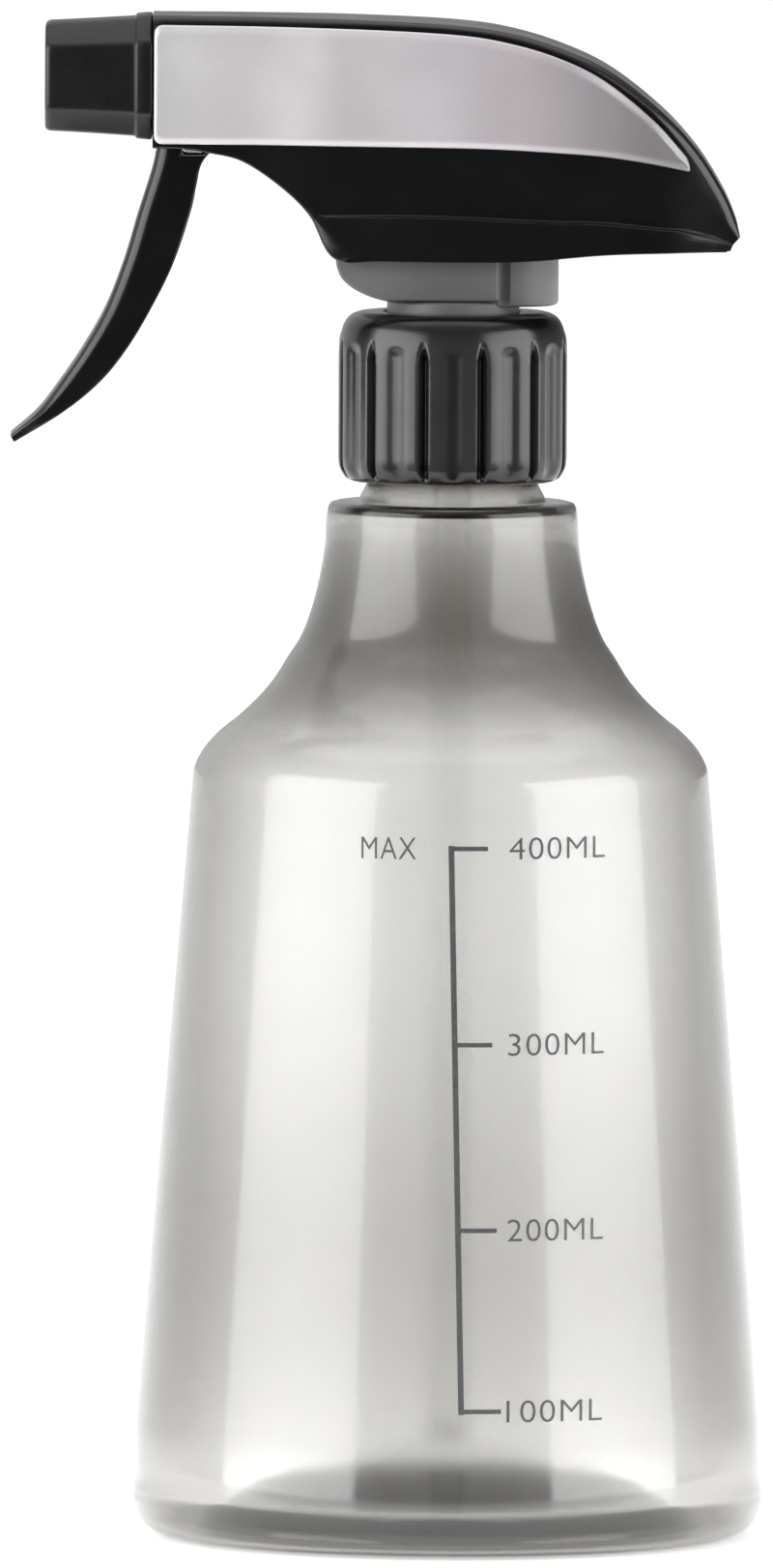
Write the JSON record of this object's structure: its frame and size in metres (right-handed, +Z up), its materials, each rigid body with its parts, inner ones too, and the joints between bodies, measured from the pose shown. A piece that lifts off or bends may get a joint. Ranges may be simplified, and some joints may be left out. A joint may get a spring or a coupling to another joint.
{
  "type": "hand mister",
  "caption": "Trigger spray bottle: translucent tapered bottle with a printed level scale, ribbed screw collar, black shrouded head with silver side plates, turning nozzle.",
  "frame": {"origin": "under the middle of the whole object's box, on the plane the bottle stands on; the bottle's axis is vertical at x = 0.008275", "axes": "+Z up along the bottle's axis, -X the way the nozzle sprays, +X towards the tail of the head, +Y to the far side when the nozzle points left"},
  "size_m": [0.1008, 0.0842, 0.2022],
  "materials": {
    "bottle_plastic": "translucent smoky PET, glossy, with a printed level scale",
    "black_plastic": "moulded black polypropylene, satin gloss",
    "grey_black_plastic": "moulded black plastic, satin",
    "silver_plate": "silver metallic paint on moulded plastic, satin",
    "seal_rubber": "soft seal",
    "natural_plastic": "natural polypropylene",
    "cup_plastic": "soft polyethylene",
    "tube_plastic": "natural polyethylene tube",
    "spring_steel": "bright stainless"
  },
  "bodies": {
    "bottle": {"bottle": "bottle_plastic", "neck_finish": "bottle_plastic"},
    "neck_seal": {"neck_gasket": "seal_rubber"},
    "collar": {"closure_collar": "black_plastic"},
    "head": {"pump_body": "grey_black_plastic", "shroud": "black_plastic", "side_panel_left": "silver_plate", "side_panel_right": "silver_plate", "valve_housing": "natural_plastic", "dip_tube": "tube_plastic", "stem_seal": "seal_rubber", "cylinder_plug": "natural_plastic", "discharge_plug": "natural_plastic", "spinner": "natural_plastic", "nozzle_seal": "seal_rubber", "return_spring": "spring_steel", "outlet_valve_spring": "spring_steel"},
    "trigger": {"trigger": "black_plastic"},
    "piston": {"piston_rod": "natural_plastic", "piston_cup": "cup_plastic"},
    "inlet_ball": {"inlet_ball": "spring_steel"},
    "outlet_valve": {"outlet_valve": "natural_plastic"},
    "nozzle": {"nozzle_cap": "black_plastic"}
  },
  "joints": [
    {"name": "closure_lift", "type": "slide", "parent": "bottle", "child": "neck_seal", "axis": [0, 0, 1], "range_m": [0, 0.00394]},
    {"name": "collar_turn", "type": "hinge", "parent": "neck_seal", "child": "collar", "pos_m": [0.00827, 0, 0.15], "axis": [0, 0, 1], "range_deg": [0, 450]},
    {"name": "head_swivel", "type": "hinge", "parent": "neck_seal", "child": "head", "pos_m": [0.00827, 0, 0.17], "axis": [0, 0, 1], "continuous": true},
    {"name": "trigger_pull", "type": "hinge", "parent": "head", "child": "trigger", "pos_m": [-0.02622, 0, 0.1962], "axis": [0, -1, 0], "range_deg": [0, 22]},
    {"name": "piston_slide", "type": "slide", "parent": "head", "child": "piston", "axis": [1, 0, 0], "range_m": [0, 0.00388], "stiffness_N_per_m": 300, "springref_m": -0.009, "deforming": ["return_spring"]},
    {"name": "inlet_ball_lift", "type": "slide", "parent": "head", "child": "inlet_ball", "axis": [0, 0, 1], "range_m": [0, 0.0012]},
    {"name": "outlet_valve_open", "type": "slide", "parent": "head", "child": "outlet_valve", "axis": [-1, 0, 0], "range_m": [0, 0.001], "stiffness_N_per_m": 5, "springref_m": -0.002, "deforming": ["outlet_valve_spring"]},
    {"name": "nozzle_turn", "type": "hinge", "parent": "head", "child": "nozzle", "pos_m": [-0.03207, 0, 0.1939], "axis": [-1, 0, 0], "continuous": true}
  ],
  "couplings": [
    {"joint": "collar_turn", "follows": "closure_lift", "rad_per_m": 1978.9},
    {"joint": "trigger_pull", "follows": "piston_slide", "rad_per_m": 98.04}
  ]
}
